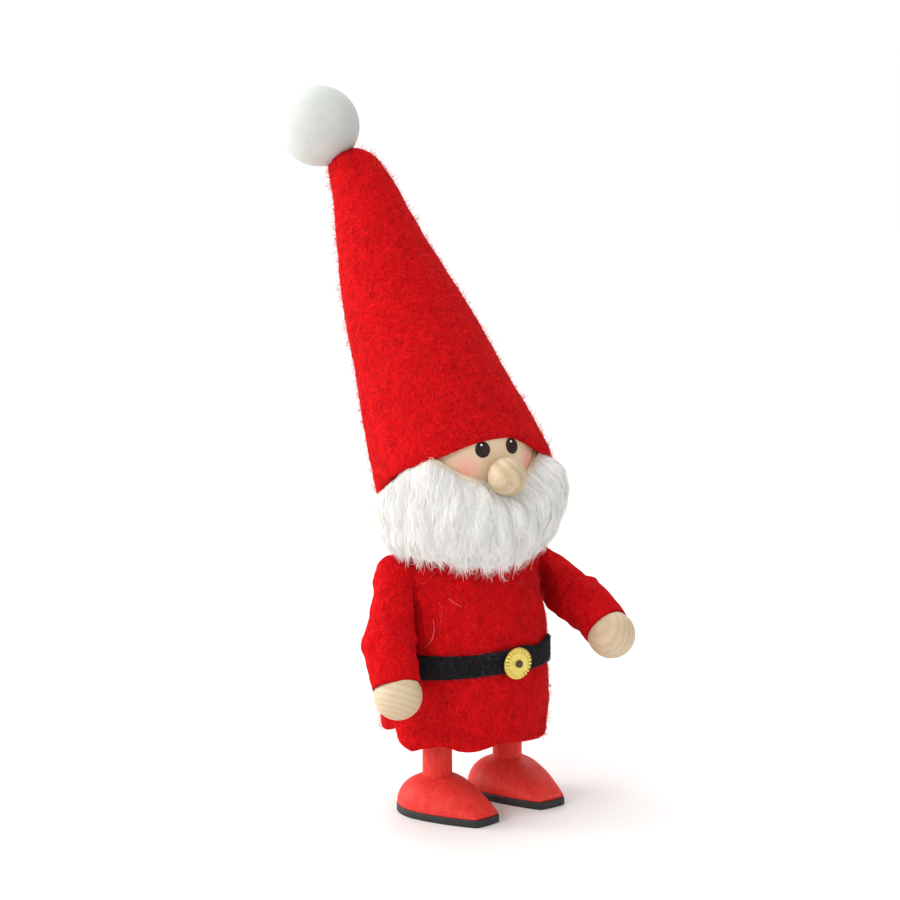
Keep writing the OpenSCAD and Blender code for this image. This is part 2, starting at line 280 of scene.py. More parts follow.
TARGET = Vector((-1.15, -13.16, 73.26)) * MM
CAMERA_AZIMUTH, CAMERA_UP, CAMERA_AWAY = -42, 13, 900
camera = bpy.data.objects.new("camera", bpy.data.cameras.new("camera"))
view_angle = math.radians(CAMERA_UP)
offset = around(CAMERA_AZIMUTH, CAMERA_AWAY * math.cos(view_angle), CAMERA_AWAY * math.sin(view_angle))
camera.location = TARGET + Vector(offset) * MM
camera.data.lens = 180
camera.data.clip_start = 0.01
look_at(camera, TARGET)
bpy.context.scene.collection.objects.link(camera)
bpy.context.scene.camera = camera
bpy.context.scene.view_settings.view_transform = "Standard"

to_camera = (camera.location - TARGET).normalized()
to_right = Vector((0, 0, 1)).cross(to_camera).normalized()
level = Vector((to_camera.x, to_camera.y, 0)).normalized()


def softbox(name, right, up, near, size, power, colour=(1, 1, 1), aim=(0, 0, 0)):
    """A square area light, placed and aimed from the figure's middle as the camera sees it."""
    lamp = bpy.data.lights.new(name, "AREA")
    lamp.shape = "SQUARE"
    lamp.size = size
    lamp.energy = power
    lamp.color = colour
    light = bpy.data.objects.new(name, lamp)
    light.location = TARGET + to_right * right + Vector((0, 0, up)) + level * near
    look_at(light, TARGET + to_right * aim[0] + Vector((0, 0, aim[1])) + level * aim[2])
    bpy.context.scene.collection.objects.link(light)


softbox("key_light", -0.50, 0.36, 0.42, 0.30, 2.4, (1, 0.985, 0.96))
softbox("side_light", -0.68, 0.20, -0.20, 0.36, 3.5, (1, 0.99, 0.97))
softbox("top_light", -0.10, 0.75, -0.10, 0.60, 2.6)
softbox("fill_light", 0.62, 0.22, 0.55, 0.60, 1.1, (0.97, 0.985, 1))
softbox("floor_light", 0.0, 1.3, -2.0, 1.6, 23.0, aim=(0.0, -0.07, -1.6))

world = bpy.data.worlds.new("studio")
world.use_nodes = True
world.node_tree.nodes["Background"].inputs["Color"].default_value = (1, 1, 1, 1)
world.node_tree.nodes["Background"].inputs["Strength"].default_value = 0.56
bpy.context.scene.world = world


# ------------------------ materials


class Finish:
    """A material and its node tree, with short ways to add the nodes that the finishes share."""

    def __init__(self, name, roughness, **settings):
        self.material = bpy.data.materials.new(name)
        self.material.use_nodes = True
        self.tree = self.material.node_tree
        self.surface = self.tree.nodes["Principled BSDF"]
        self.set(Roughness=roughness, **settings)

    def set(self, **settings):
        for key, value in settings.items():
            self.feed(self.surface.inputs[key.replace("_", " ")], value)

    def feed(self, socket, value):
        if isinstance(value, bpy.types.NodeSocket):
            self.tree.links.new(value, socket)
        else:
            socket.default_value = value

    def add(self, kind, inputs=(), **properties):
        node = self.tree.nodes.new("ShaderNode" + kind)
        for key, value in properties.items():
            setattr(node, key, value)
        for key, value in dict(inputs).items():
            self.feed(node.inputs[key], value)
        return node

    def grain(self, size, centre=(0, 0, 0), angles=(0, 0, 0)):
        """Coordinates in which a feature of that size in millimetres is 1 long."""
        place_at = [x * MM for x in centre]
        inputs = {
            "Vector": self.add("TexCoord").outputs["Object"],
            "Location": place_at,
            "Rotation": [math.radians(x) for x in angles],
            "Scale": [x * MM for x in size],
        }
        return self.add("Mapping", inputs, vector_type="TEXTURE").outputs[0]

    def noise(self, size, detail=3, distortion=0.0, angles=(0, 0, 0), roughness=0.55):
        inputs = {
            "Vector": self.grain(size, angles=angles),
            "Scale": 1.0,
            "Detail": detail,
            "Distortion": distortion,
            "Roughness": roughness,
        }
        return self.add("TexNoise", inputs).outputs[0]

    def math(self, operation, a, b=0.0, clamp=False):
        node = self.add("Math", {0: a, 1: b}, operation=operation)
        node.use_clamp = clamp
        return node.outputs[0]

    def span(self, value, low, high, to_low=0.0, to_high=1.0):
        inputs = {0: value, 1: low, 2: high, 3: to_low, 4: to_high}
        return self.add("MapRange", inputs).outputs[0]

    def mix(self, share, a, b, blend="MIX"):
        node = self.add("Mix", data_type="RGBA", blend_type=blend)
        self.feed(node.inputs[0], share)
        for socket, colour in ((node.inputs[6], a), (node.inputs[7], b)):
            self.feed(socket, (*colour, 1) if isinstance(colour, tuple) else colour)
        return node.outputs[2]

    def bump(self, height, depth, strength=1.0):
        inputs = {"Height": height, "Distance": depth * MM, "Strength": strength}
        self.set(Normal=self.add("Bump", inputs).outputs[0])


def felt(name, deep, plain, light, fibre, sheen):
    """Pressed wool felt: blotches, a web of crossing fibres, and a few paler ones."""
    f = Finish(name, 0.95, Specular_IOR_Level=0.05, Sheen_Weight=sheen, Sheen_Roughness=0.45)
    f.set(Sheen_Tint=(*[min(1, c * 1.3 + 0.12) for c in light], 1))
    blotch = f.noise((3.2, 3.2, 5.5), 4, 0.8)
    speckle = f.noise((0.9, 0.9, 1.5), 4, 1.4, roughness=0.55)
    webs = [
        f.noise((0.16, 0.9, 0.16), 2, 1.5, (20, 35, 10)),
        f.noise((0.16, 0.16, 1.0), 2, 1.5, (40, -30, 60)),
        f.noise((0.95, 0.15, 0.15), 2, 1.5, (-25, 15, 35)),
    ]
    web = f.math("MAXIMUM", f.math("MAXIMUM", webs[0], webs[1]), webs[2])
    colour = f.mix(f.span(blotch, 0.25, 0.62, 0.5, 1), deep, plain)
    colour = f.mix(f.span(speckle, 0.36, 0.7, 0, 0.75), colour, light)
    colour = f.mix(f.span(web, 0.5, 0.62, 0.55, 0), colour, deep)
    colour = f.mix(f.span(web, 0.69, 0.8, 0, 0.5), colour, fibre)
    f.set(Base_Color=colour)
    height = f.math("ADD", f.math("MULTIPLY", web, 0.8), f.math("MULTIPLY", speckle, 0.9))
    f.bump(height, 0.3, 0.5)
    return f.material


def wood(name, dark, pale, pith, angles, ring=1.5, roughness=0.5, contrast=1.0, fleck=(0.13, 0.13, 1.8)):
    """Wood with year rings round a pith line, and flecks along a grain that the angles turn from Z."""
    f = Finish(name, roughness, Specular_IOR_Level=0.4)
    inputs = {
        "Vector": f.grain((ring * 6.3,) * 3, pith, angles),
        "Scale": 1.0,
        "Distortion": 1.1,
        "Detail": 2.0,
        "Detail Scale": 1.4,
    }
    rings = f.add("TexWave", inputs, wave_type="RINGS", rings_direction="Z").outputs["Fac"]
    flecks = f.noise(fleck, 3, 0.3, angles, 0.6)
    cloud = f.noise((5, 5, 9), 2, 0.2, angles)
    specks = f.span(flecks, 0.42, 0.72, 0, 0.9 * contrast)
    share = f.math("ADD", f.math("MULTIPLY", rings, 0.55 * contrast), specks)
    share = f.math("ADD", share, f.span(cloud, 0.3, 0.7, -0.15, 0.15), clamp=True)
    f.set(Base_Color=f.mix(share, pale, dark))
    f.bump(flecks, 0.03, 0.5)
    return f


PALE_WOOD = (0.65, 0.52, 0.355)
DARK_WOOD = (0.47, 0.33, 0.185)
hand_wood = {}
for side in SIDE:
    at = middle_of("hand_" + side)
    angles = {"left": (62, 0, 30), "right": (88, 0, -48)}[side]
    pith = at + np.array([4.0, 6.5, -9.0])
    hand_wood[side] = wood("wood_hand_" + side, DARK_WOOD, PALE_WOOD, pith, angles, 0.6, 0.5, 0.6).material
nose_pith = middle_of("nose") + [2.2, -0.5, 0]
nose_wood = wood("wood_nose", DARK_WOOD, PALE_WOOD, nose_pith, (14, 8, 0), 0.75, 0.5, 1.0).material
inner_wood = wood("wood_plain", DARK_WOOD, PALE_WOOD, (HEAD[0] + 5, HEAD[1], 0), (0, 0, 0)).material


def face_point(azimuth, elevation, radius=HEAD_R):
    a = math.radians(elevation)
    return around(azimuth, radius * math.cos(a), radius * math.sin(a))


def head_finish():
    """Pale wood with two soft rouged cheeks."""
    dark, pale = (0.67, 0.48, 0.30), (0.76, 0.60, 0.41)
    f = wood("wood_head", dark, pale, HEAD + [9, 12, 0], (4, 3, 0), 1.9, 0.48, 0.6)
    base = f.surface.inputs["Base Color"].links[0].from_socket
    blush = None
    for azimuth in (-29.4, 33.4):
        spot = moved(FACE, face_point(azimuth, 0.5)) * MM
        here = f.add("TexCoord").outputs["Object"]
        away = f.add("VectorMath", {0: here, 1: spot.tolist()}, operation="DISTANCE").outputs["Value"]
        soft = f.span(away, 0.9 * MM, 3.9 * MM, 1, 0)
        blush = soft if blush is None else f.math("MAXIMUM", blush, soft)
    mottle = f.span(f.noise((0.8, 0.8, 0.8), 4), 0.3, 0.7, 0.5, 0.8)
    f.set(Base_Color=f.mix(f.math("MULTIPLY", blush, mottle), base, (0.84, 0.30, 0.26)))
    return f.material


def stained():
    """Red stain on wood, so the grain shows as darker and paler streaks."""
    f = Finish("wood_red_stain", 0.5, Specular_IOR_Level=0.14)
    streak = f.noise((0.22, 0.22, 3.2), 4, 0.25, roughness=0.65)
    wide = f.noise((1.4, 1.4, 7), 3, 0.5)
    colour = f.mix(f.span(streak, 0.35, 0.7), (0.80, 0.042, 0.032), (0.50, 0.012, 0.012))
    f.set(Base_Color=f.mix(f.span(wide, 0.35, 0.7, 0, 0.35), colour, (0.86, 0.085, 0.065)))
    f.bump(streak, 0.035, 0.6)
    return f.material


def white_paint():
    f = Finish("paint_white", 0.6, Specular_IOR_Level=0.06)
    brushed = f.noise((0.5, 3.5, 0.5), 4, 0.3, (20, 10, 35), 0.6)
    patch = f.noise((3, 3, 3), 3)
    f.set(Base_Color=f.mix(f.span(patch, 0.35, 0.7), (0.57, 0.59, 0.562), (0.535, 0.555, 0.527)))
    f.bump(brushed, 0.05, 0.6)
    return f.material


WOOL_GLOW = 0.055


def wool(name, pale, creamy):
    """White lambswool. Each fibre has its own tone. The glow stands in for light scattered inside wool."""
    f = Finish(name, 0.7, Specular_IOR_Level=0.15)
    f.set(Emission_Color=(1, 0.99, 0.97, 1), Emission_Strength=WOOL_GLOW)
    tone = f.add("Attribute", attribute_name="tone").outputs["Fac"]
    patch = f.noise((2.4, 2.4, 4), 3, 0.4)
    share = f.math("MULTIPLY", f.math("ADD", tone, patch), 0.55, clamp=True)
    f.set(Base_Color=f.mix(share, pale, creamy))
    f.bump(f.noise((0.14, 0.14, 2.2), 3, 0.5), 0.1, 0.5)
    return f.material


def plain(name, colours, roughness, size, depth, **settings):
    """A simple finish whose colour and surface vary a little."""
    f = Finish(name, roughness, **settings)
    cloud = f.noise((size,) * 3, 4, 0.3)
    f.set(Base_Color=f.mix(f.span(cloud, 0.3, 0.7), *colours))
    f.bump(f.noise((size * 0.25,) * 3, 3), depth, 0.6)
    return f.material


def fibre_finish(name, dark, pale):
    """Loose fibres off a felt, each with its own tone."""
    f = Finish(name, 0.85, Specular_IOR_Level=0.1)
    tone = f.add("Attribute", attribute_name="tone").outputs["Fac"]
    wave = f.noise((1.5, 1.5, 1.5), 2)
    f.set(Base_Color=f.mix(f.math("MULTIPLY", tone, f.span(wave, 0.3, 0.7, 0.7, 1.2)), dark, pale))
    return f.material


red_felt = felt(
    "felt_red",
    deep=(0.16, 0.001, 0.003),
    plain=(0.60, 0.003, 0.006),
    light=(0.92, 0.010, 0.012),
    fibre=(0.95, 0.07, 0.06),
    sheen=0.03,
)
black_felt = felt(
    "felt_black",
    deep=(0.004, 0.004, 0.005),
    plain=(0.010, 0.010, 0.012),
    light=(0.022, 0.023, 0.027),
    fibre=(0.12, 0.12, 0.13),
    sheen=0.12,
)
red_fibre = fibre_finish("fibre_red", (0.36, 0.002, 0.004), (0.88, 0.020, 0.020))
stray_fibre = fibre_finish("fibre_stray", (0.80, 0.20, 0.18), (0.90, 0.62, 0.58))
black_fibre = fibre_finish("fibre_black", (0.008, 0.008, 0.010), (0.09, 0.09, 0.10))
red_thread = plain("thread_red", ((0.52, 0.006, 0.010), (0.68, 0.015, 0.018)), 0.7, 0.4, 0.05)
fleece = wool("wool_white", (0.915, 0.915, 0.90), (0.875, 0.86, 0.82))
fringe_wool = wool("wool_edge", (0.90, 0.84, 0.72), (0.78, 0.64, 0.44))
hide = plain("hide_cream", ((0.80, 0.68, 0.50), (0.68, 0.53, 0.35)), 0.8, 0.8, 0.1)
red_stain = stained()
ball_paint = white_paint()
rubber = plain("rubber_black", ((0.010, 0.010, 0.011), (0.022, 0.022, 0.024)), 0.62, 0.9, 0.06)
brass = plain("brass_satin", ((0.84, 0.70, 0.17), (0.72, 0.57, 0.12)), 0.4, 0.7, 0.015, Metallic=0.7)
nail_metal = plain("nail_dark", ((0.05, 0.03, 0.02), (0.12, 0.08, 0.05)), 0.4, 0.3, 0.02, Metallic=0.8)
eye_browns = ((0.014, 0.006, 0.005), (0.030, 0.013, 0.010))
eye_paint = plain("paint_eye", eye_browns, 0.3, 0.5, 0.01, Specular_IOR_Level=0.2)
# Painted highlight: the white of the eyes' glint dots, which stand in for the lamps' reflection in the
# glossy eyes.
glint_paint = plain("paint_glint", ((0.88, 0.88, 0.88), (0.80, 0.80, 0.80)), 0.25, 0.3, 0.005)
steel = plain("steel_wire", ((0.55, 0.55, 0.56), (0.42, 0.42, 0.43)), 0.35, 0.4, 0.01, Metallic=1.0)
floor_paper = plain("paper_white", ((0.86, 0.855, 0.85), (0.85, 0.845, 0.84)), 0.9, 40, 0.02)

floor_points = []
for ahead in np.linspace(30.0, -30.0, 6):
    for across in (-30.0, 30.0):
        floor_points.append(list((level * ahead + to_right * across) / MM))
floor = place("floor", floor_points, grid_faces(6, 2, wrap_columns=False), floor_paper)


# ------------------------ cloth simulation


def drape(points, faces, pinned, blocks, frames):
    """Lets a felt settle under gravity with Blender's cloth. It runs ten times smaller than life is in
    centimetres per unit, because the solver's smallest gap is a millimetre. Returns the settled points."""
    scale = 0.1
    scene = bpy.context.scene
    mesh = bpy.data.meshes.new("drape")
    mesh.from_pydata((points * scale).tolist(), [], faces)
    cloth = bpy.data.objects.new("drape", mesh)
    scene.collection.objects.link(cloth)
    group = cloth.vertex_groups.new(name="pin")
    for i in np.nonzero(pinned > 0)[0]:
        group.add([int(i)], float(pinned[i]), "REPLACE")
    solids = []
    for block_points, block_faces in blocks:
        solid_mesh = bpy.data.meshes.new("block")
        solid_mesh.from_pydata((block_points * scale).tolist(), [], block_faces)
        solid = bpy.data.objects.new("block", solid_mesh)
        scene.collection.objects.link(solid)
        solid.modifiers.new("collision", "COLLISION")
        solid.collision.thickness_outer = 0.01
        solid.collision.cloth_friction = 20
        solids.append(solid)
    modifier = cloth.modifiers.new("cloth", "CLOTH")
    settings = modifier.settings
    settings.quality = 6
    settings.mass = 0.4
    settings.tension_stiffness = settings.compression_stiffness = 60
    settings.shear_stiffness = 30
    settings.bending_stiffness = 12
    settings.tension_damping = settings.compression_damping = 15
    settings.air_damping = 5
    settings.vertex_group_mass = "pin"
    modifier.collision_settings.distance_min = 0.02
    modifier.collision_settings.use_self_collision = False
    modifier.point_cache.frame_start = 1
    modifier.point_cache.frame_end = frames
    scene.frame_end = frames
    for number in range(1, frames + 1):
        scene.frame_set(number)
    settled = cloth.evaluated_get(bpy.context.evaluated_depsgraph_get())
    found = np.array([v.co for v in settled.data.vertices], float).reshape(-1, 3) / scale
    scene.frame_set(1)
    for obj in [cloth, *solids]:
        bpy.data.objects.remove(obj, do_unlink=True)
    return found


# ------------------------ tunic

FELT = 1.3
TUNIC_LINE = [
    (16.0, 15.9), (24, 16.5), (32, 16.2), (39, 15.6), (45, 14.4), (50, 12.0),
    (53.4, 8.9), (55.0, 6.4),
]
HEM_LINE = [
    (-180, 15.4), (-155, 16.8), (-130, 15.2), (-108, 16.4), (-92, 17.4), (-82, 15.8),
    (-74, 14.5), (-63, 15.2), (-49, 16.0), (-36, 15.2), (-26, 15.1), (-4, 16.3),
    (20, 15.6), (50, 14.9), (75, 16.2), (105, 15.0), (135, 16.9), (160, 15.2),
    (180, 15.4),
]
BELT_MIDDLE = 30.5
BELT_TILT = 8.0
BELT_W = 4.8
BELT_IN = 16.35


def belt_height(azimuth):
    return BELT_MIDDLE + np.tan(math.radians(BELT_TILT)) * 17 * np.cos(np.radians(azimuth))


def tunic_grid():
    """The tunic's middle surface in the torso's frame, rows from the hem up to the neck."""
    azimuth = np.arange(168) * 360 / 168 - 180
    share = np.linspace(0, 1, 76) ** 0.9
    line = np.array(TUNIC_LINE)
    length = np.concatenate([[0], np.cumsum(np.hypot(*np.diff(line, axis=0).T))])
    z = through(share * length[-1], np.column_stack([length, line[:, 0]]))
    r = through(share * length[-1], np.column_stack([length, line[:, 1]]))
    z, r = [np.repeat(v[:, None], len(azimuth), 1) for v in (z, r)]
    azimuth = np.repeat(azimuth[None], len(share), 0)
    low = 1 - smooth(z, 16, 27)
    hem = through(azimuth, HEM_LINE)
    z = z + (hem - 16) * low
    r = r + low * (0.45 * np.sin(np.radians(azimuth) * 5 + 0.9) - 0.25 * (hem - 15.6))
    r = r - low * 0.9 * np.exp(-(((azimuth + 96) / 11) ** 2))
    cinch = np.exp(-(((z - belt_height(azimuth)) / 3.4) ** 2))
    r = r * (1 - cinch) + cinch * (BELT_IN - FELT / 2)
    points = around(azimuth, r, z)
    for side in (-1, 1):
        away = np.hypot(points[..., 1], points[..., 2] - SHOULDER_Z)
        stub = (1 - smooth(away, 2.8, 6.4)) * (points[..., 0] * side > 8)
        points[..., 0] += stub * (side * (15.9 - FELT / 2) - points[..., 0])
    return points


tunic_mid = tunic_grid()
rows, columns = tunic_mid.shape[:2]
azimuth_of = np.degrees(np.arctan2(tunic_mid[..., 0], -tunic_mid[..., 1]))
from_belt = np.abs(tunic_mid[..., 2] - belt_height(azimuth_of))
held = np.maximum(1 - smooth(from_belt, 2.2, 3.4), smooth(tunic_mid[..., 2], 44, 48))
held = np.maximum(held, 0.25 * smooth(tunic_mid[..., 2], 32, 36))
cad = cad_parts["body_core"].data
at = np.array([v.co for v in cad.vertices], float) / MM
core = (moved(np.linalg.inv(TORSO), at), [tuple(p.vertices) for p in cad.polygons])
start = tunic_mid.reshape(-1, 3)
settled = drape(start, grid_faces(rows, columns), held.ravel(), [core], 36)
step = settled - start
far = np.linalg.norm(step, axis=1, keepdims=True)
tunic_mid = (start + step * np.minimum(1, 1.2 / np.maximum(far, 1e-9))).reshape(rows, columns, 3)
unevenness = 0.10 * ripple(tunic_mid, 6, 3) + 0.05 * ripple(tunic_mid, 2.2, 4)
tunic_mid = tunic_mid + normals_of(tunic_mid) * unevenness[..., None]
azimuth_of = np.degrees(np.arctan2(tunic_mid[..., 0], -tunic_mid[..., 1]))
from_seam = np.abs(np.abs(azimuth_of) - 180) * 0.28
tunic_mid = tunic_mid - normals_of(tunic_mid) * (0.45 * np.exp(-((from_seam / 0.6) ** 2)))[..., None]
tunic = place("tunic_felt", *two_sided(tunic_mid, FELT), red_felt, TORSO)
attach(tunic, "body")
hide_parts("tunic")

tunic_outer = tunic_mid + normals_of(tunic_mid) * FELT / 2


def stitches(line, out, side, step, half, radius):
    """Short threads across a seam, from its points, its normals and its crossways direction."""
    length = np.concatenate([[0], np.cumsum(np.linalg.norm(np.diff(line, axis=0), axis=1))])
    parts = []
    for i, at in enumerate(np.arange(step, length[-1] - step / 2, step)):
        p, n, s = [[np.interp(at, length, v[:, k]) for k in range(3)] for v in (line, out, side)]
        p, n, s = np.array(p), unit(np.array(n)), unit(np.array(s))
        up = np.cross(n, s) * half * 0.35 * (1 if i % 2 else 0.8)
        t = np.linspace(-1, 1, 7)[:, None]
        path = p + s * half * t + up * t + n * (0.32 * np.cos(t * 1.9) - 0.12)
        parts.append(tube(path, radius, 6))
    return joined(parts)


across_seam = np.repeat([[1.0, 0, 0]], rows - 16, 0)
seam_normal = normals_of(tunic_outer)[2:-14, 0]
seam_points, seam_faces = stitches(tunic_outer[2:-14, 0], seam_normal, across_seam, 2.0, 1.0, 0.13)
seam = place("tunic_stitches", seam_points, seam_faces, red_thread, TORSO)
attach(seam, "body")
fuzz_tunic = fuzz("tunic_fuzz", tunic_outer, 12000, 1.0, 0.055, red_fibre, TORSO, 11, 0.65)
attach(fuzz_tunic, "body")
under_hem = TORSO @ shift(0, 0, -0.3)
hem_fuzz = fuzz("tunic_hem_fuzz", tunic_outer[:5], 900, 1.0, 0.055, red_fibre, under_hem, 12, 0.6)
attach(hem_fuzz, "body")
strays = fuzz("tunic_stray_fibres", tunic_outer[38:66], 24, 4.4, 0.034, stray_fibre, TORSO, 17, 0.3, 2.6)
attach(strays, "body")


# ------------------------ belt and buckle


def belt_grid():
    """The belt's closed cross-section swept round the waist."""
    azimuth = np.arange(220) * 360 / 220 - 180
    section = []
    for a in np.linspace(0, 2 * math.pi, 26, endpoint=False):
        c, s = math.cos(a), math.sin(a)
        section.append((0.5 * np.sign(c) * abs(c) ** 0.5, BELT_W / 2 * np.sign(s) * abs(s) ** 0.35))
    rows = []
    for out, up in section:
        edge = 0.14 * ripple(np.column_stack([azimuth * 0.3, azimuth * 0 + up * 3]), 9, 21)
        wave = 0.10 * ripple(np.column_stack([azimuth * 0.3, azimuth * 0]), 14, 22)
        z = belt_height(azimuth) + (up + np.sign(up) * edge * (abs(up) > 2)) + wave
        rows.append(around(azimuth, BELT_IN + 0.62 + out + 0.1 * wave, z))
    return np.array(rows)


belt_points = belt_grid()
belt_faces = grid_faces(*belt_points.shape[:2], wrap_rows=True)
belt = place("belt_felt", belt_points, belt_faces, black_felt, TORSO)
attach(belt, "body")
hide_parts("belt")
outside = belt_points[np.r_[20:26, 0:7]]
belt_fuzz = fuzz("belt_fuzz", outside, 1500, 0.8, 0.05, black_fibre, TORSO, 23, 0.45)
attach(belt_fuzz, "body")

BUCKLE = TORSO @ turn("Z", 3) @ shift(0, -17.72, 32.5) @ turn("X", 90)
NOTCHES = 24
BUCKLE_LINE = [
    (0.5, 0.74), (0.8, 0.74), (1.2, 0.74), (1.6, 0.74), (1.75, 0.75), (1.85, 0.79), (1.95, 0.82),
    (2.05, 0.79), (2.15, 0.75), (2.3, 0.74), (2.45, 0.76), (2.6, 0.78), (2.8, 0.79), (3.0, 0.77),
    (3.12, 0.72), (3.2, 0.6), (3.25, 0.45), (3.25, 0.12), (3.15, 0.0), (2.6, 0.0),
]


def buckle_grid():
    """A stamped disc: radial grooves in its rim, one raised ring and a dished middle, on a flat back."""
    angle = np.arange(NOTCHES * 10) * 2 * math.pi / (NOTCHES * 10)
    groove = np.clip(np.cos(angle * NOTCHES) * 2.2 - 0.9, 0, 1)
    rows = []
    for i, (r, z) in enumerate(BUCKLE_LINE):
        cut = groove * smooth(r, 2.2, 2.45) * (i < 18)
        rr = r - 0.25 * cut * (r > 3.05)
        zz = z - 0.42 * cut * (i < 16)
        rows.append(np.column_stack([rr * np.cos(angle), rr * np.sin(angle), zz + 0 * angle]))
    return np.array(rows)


disc = buckle_grid()
buckle_points, buckle_faces = capped(disc.reshape(-1, 3), *disc.shape[:2])
buckle = place("buckle_disc", buckle_points, [f[::-1] for f in buckle_faces], brass, BUCKLE)
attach(buckle, "body")
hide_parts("buckle")
nail_rows = [(0.02, 1.12), (0.3, 1.1), (0.52, 1.0), (0.62, 0.84), (0.6, 0.66), (0.4, 0.5)]
turns = np.arange(24) * 15
nail_points = np.array([around(turns, r, z) for r, z in nail_rows])
nail_points[..., :2] *= 1 + 0.03 * ripple(nail_points, 1.2, 31)[..., None]
nail_mesh = capped(nail_points.reshape(-1, 3), len(nail_rows), 24)
nail = place("buckle_nail_head", nail_mesh[0], [f[::-1] for f in nail_mesh[1]], nail_metal, BUCKLE)
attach(nail, "body")


# ------------------------ sleeves

ARM_PATH = [
    (-0.3, 0, 2.6),
    (0.3, 0, 0.9),
    (2.2, 0.1, -3.4),
    (4.6, 0.4, -8.2),
    (6.1, 0.35, -11.8),
    (7.1, 0.0, -16.0),
    (7.55, 0, -19.9),
]
ARM_WIDTH = [
    (0, 4.5), (0.14, 4.85), (0.3, 4.7), (0.5, 4.95), (0.62, 5.25), (0.78, 4.95),
    (1, 4.85),
]
CUFF_FELT = 0.8


def sleeve_mesh(side, seed):
    """A felt tube over the bent wire: round at the shoulder, creased at the elbow, open at the cuff."""
    share = np.linspace(0, 1, 84)
    known = np.linspace(0, 1, len(ARM_PATH))
    known = [np.column_stack([known, [p[k] for p in ARM_PATH]]) for k in range(3)]
    path = np.column_stack([through(share, points) for points in known])
    width = through(share, ARM_WIDTH)
    along = unit(np.gradient(path, axis=0))
    out = unit(np.cross([[0.0, 1, 0]], along))
    ahead = np.cross(along, out)
    angle = np.arange(64) * 2 * math.pi / 64
    ring = np.cos(angle)[None, :, None] * out[:, None] + np.sin(angle)[None, :, None] * ahead[:, None]
    crease = np.exp(-(((share - 0.6) / 0.09) ** 2))[:, None] * (0.5 - 0.5 * np.sin(angle))[None]
    wrinkle = 0.24 * crease * np.sin((share[:, None] - 0.6) * 44 + 0.8 * np.cos(angle)[None])
    flat = path[:, None] + ring * width[:, None, None]
    lump = 0.16 * ripple(flat, 6, seed) + 0.07 * ripple(flat, 2.4, seed + 1)
    outer = flat + ring * (lump + wrinkle)[..., None]
    crown = []
    for a in np.radians([78, 62, 46, 31, 15]):
        r = width[0] * math.cos(a)
        top = path[0] - along[0] * width[0] * 0.72 * math.sin(a)
        crown.append(top + ring[0] * (r + lump[0][:, None] * math.cos(a)))
    outer = np.concatenate([np.array(crown), outer])
    inner = []
    for depth, shrink in ((0, 0.3), (1, CUFF_FELT), (4, CUFF_FELT + 0.1), (9, CUFF_FELT + 0.2)):
        i = len(path) - 1 - depth
        pull = 0.12 if depth else -0.45
        inner.append(path[i] - along[i] * pull + ring[i] * (width[i] - shrink + lump[i][:, None]))
    lip = path[-1] + along[-1] * 0.62 + ring[-1] * (width[-1] - 0.16 + lump[-1][:, None])
    grid = np.concatenate([outer, [lip], np.array(inner)])
    # Flat against the tunic's side. Above that the crown sinks up to 2.7 mm into the tunic, a known fault.
    inward = np.interp(grid[..., 2], (-4.5, 2.0), (1.05, -1.7)) - grid[..., 0]
    grid[..., 0] += np.where(inward > 0, inward - 0.12 * np.minimum(inward, 1), 0)
    return grid, len(outer)


for side in SIDE:
    grid, shown = sleeve_mesh(side, 41 if side == "left" else 45)
    matrix = arm_frame(side)
    body = side + "_arm"
    points, faces = capped(grid.reshape(-1, 3), *grid.shape[:2])
    sleeve = place("sleeve_felt_" + side, points, faces, red_felt, matrix)
    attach(sleeve, body)
    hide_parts("sleeve_" + side)
    outside = grid[6:shown][:, ::-1]
    seed = 51 + SIDE[side]
    hairs = fuzz("sleeve_fuzz_" + side, outside, 4800, 1.0, 0.055, red_fibre, matrix, seed, 0.65)
    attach(hairs, body)


# ------------------------ shoes and soles

SHOE_W, HEEL, TOE, SHOE_H, TOE_W, TOE_H, SOLE_T = 15.5, 8.5, 14.3, 6.45, 6.4, 0.85, 1.55


def shoe_width(s):
    front = TOE_W / 2 + (SHOE_W - TOE_W) / 2 * (1 - np.clip(s / TOE, 0, 1) ** 1.6)
    return np.where(s < 0, SHOE_W / 2 * np.sqrt(np.clip(1 - (s / HEEL) ** 2, 0, 1)), front)


def shoe_height(s):
    front = TOE_H + (SHOE_H - TOE_H) * (1 - np.clip(s / TOE, 0, 1) ** 1.8)
    return np.where(s < 0, SHOE_H * np.sqrt(np.clip(1 - (s / HEEL) ** 2, 0, 1)), front)


def shoe_outline(count=120):
    """The shoe's footprint as (sideways, forward) points, at evenly spaced bearings from the leg."""
    s = np.concatenate([-HEEL * np.cos(np.linspace(0, math.pi / 2, 60)), np.linspace(0, TOE, 90)[1:]])
    w = shoe_width(s)
    toe_edge = np.linspace(1, 0, 12)[1:] * TOE_W / 2
    x = np.concatenate([w, toe_edge])
    y = np.concatenate([s, np.full(len(toe_edge), TOE) + 0.35 * (1 - (toe_edge / TOE_W * 2) ** 2)])
    bearing = np.arctan2(x, y)
    want = np.linspace(math.pi, 0, count // 2 + 1)
    order = np.argsort(bearing)
    far = np.interp(want, bearing[order], np.hypot(x, y)[order])
    half = np.column_stack([far * np.sin(want), far * np.cos(want)])
    other = half[-2:0:-1] * [-1, 1]
    return np.vstack([half, other])


